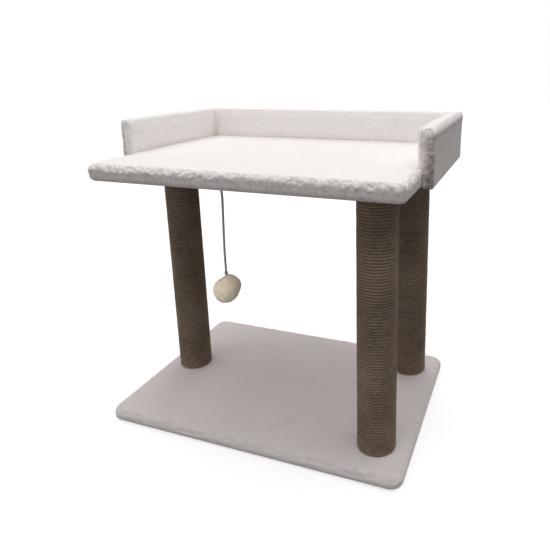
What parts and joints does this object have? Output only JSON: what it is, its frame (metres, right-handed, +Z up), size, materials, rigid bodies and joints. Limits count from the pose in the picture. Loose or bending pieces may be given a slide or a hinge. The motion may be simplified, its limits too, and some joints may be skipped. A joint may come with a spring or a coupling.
{
  "type": "cat scratching post",
  "caption": "Low cat stand: plush base, rope-wound posts, plush platform with a low wall on three sides, and a ball on a cord.",
  "frame": {"origin": "middle of the base's underside, where the stand rests", "axes": "+Z up, +X to the right seen from the open front, +Y towards the back wall"},
  "size_m": [0.574, 0.4, 0.548],
  "materials": {
    "particle_board": "raw particle board",
    "base_plush": "short matt plush, brushed flat",
    "platform_plush": "deep curly plush, matt",
    "wall_plush": "curly plush, matt",
    "backing_cloth": "thin non-woven cloth",
    "zinc_steel": "bright zinc plated",
    "cardboard_tube": "spiral wound grey-brown board",
    "jute_rope": "twisted jute, dull and hairy",
    "plug_wood": "raw turned pine",
    "toy_cord": "round braided grey cord",
    "ball_fleece": "cream fleece, lumpy",
    "wall_wadding": "polyester wadding",
    "ball_filling": "pressed fibre wadding"
  },
  "bodies": {
    "stand": {"base_board": "particle_board", "platform_board": "particle_board", "wall_left_board": "particle_board", "wall_back_board": "particle_board", "wall_right_board": "particle_board", "base_plush": "base_plush", "platform_plush": "platform_plush", "wall_left_plush": "wall_plush", "wall_back_plush": "wall_plush", "wall_right_plush": "wall_plush", "wall_left_wadding": "wall_wadding", "wall_back_wadding": "wall_wadding", "wall_right_wadding": "wall_wadding", "base_backing": "backing_cloth", "platform_lining": "backing_cloth", "base_staples": "zinc_steel", "platform_staples": "zinc_steel", "toy_staple": "zinc_steel", "base_bolts": "zinc_steel", "base_washers": "zinc_steel", "post_studs": "zinc_steel", "post_lower_inserts": "zinc_steel", "post_upper_inserts": "zinc_steel", "platform_tee_nuts": "zinc_steel", "wall_screws": "zinc_steel", "wall_corner_screws": "zinc_steel", "post_left_tube": "cardboard_tube", "post_left_rope": "jute_rope", "post_left_lower_plug": "plug_wood", "post_left_upper_plug": "plug_wood", "post_front_right_tube": "cardboard_tube", "post_front_right_rope": "jute_rope", "post_front_right_lower_plug": "plug_wood", "post_front_right_upper_plug": "plug_wood", "post_back_right_tube": "cardboard_tube", "post_back_right_rope": "jute_rope", "post_back_right_lower_plug": "plug_wood", "post_back_right_upper_plug": "plug_wood"},
    "loop": {"toy_loop": "toy_cord"},
    "toy": {"toy_cord": "toy_cord", "toy_end_knot": "toy_cord", "toy_ball_cover": "ball_fleece", "toy_ball_core": "ball_filling"}
  },
  "joints": [
    {"name": "toy_swing_fore_aft", "type": "hinge", "parent": "stand", "child": "loop", "pos_m": [-0.0708, -0.09, 0.4516], "axis": [1, 0, 0], "range_deg": [-60, 60]},
    {"name": "toy_swing_side", "type": "hinge", "parent": "loop", "child": "toy", "pos_m": [-0.0708, -0.09, 0.4426], "axis": [0, -1, 0], "range_deg": [-25, 60]}
  ]
}
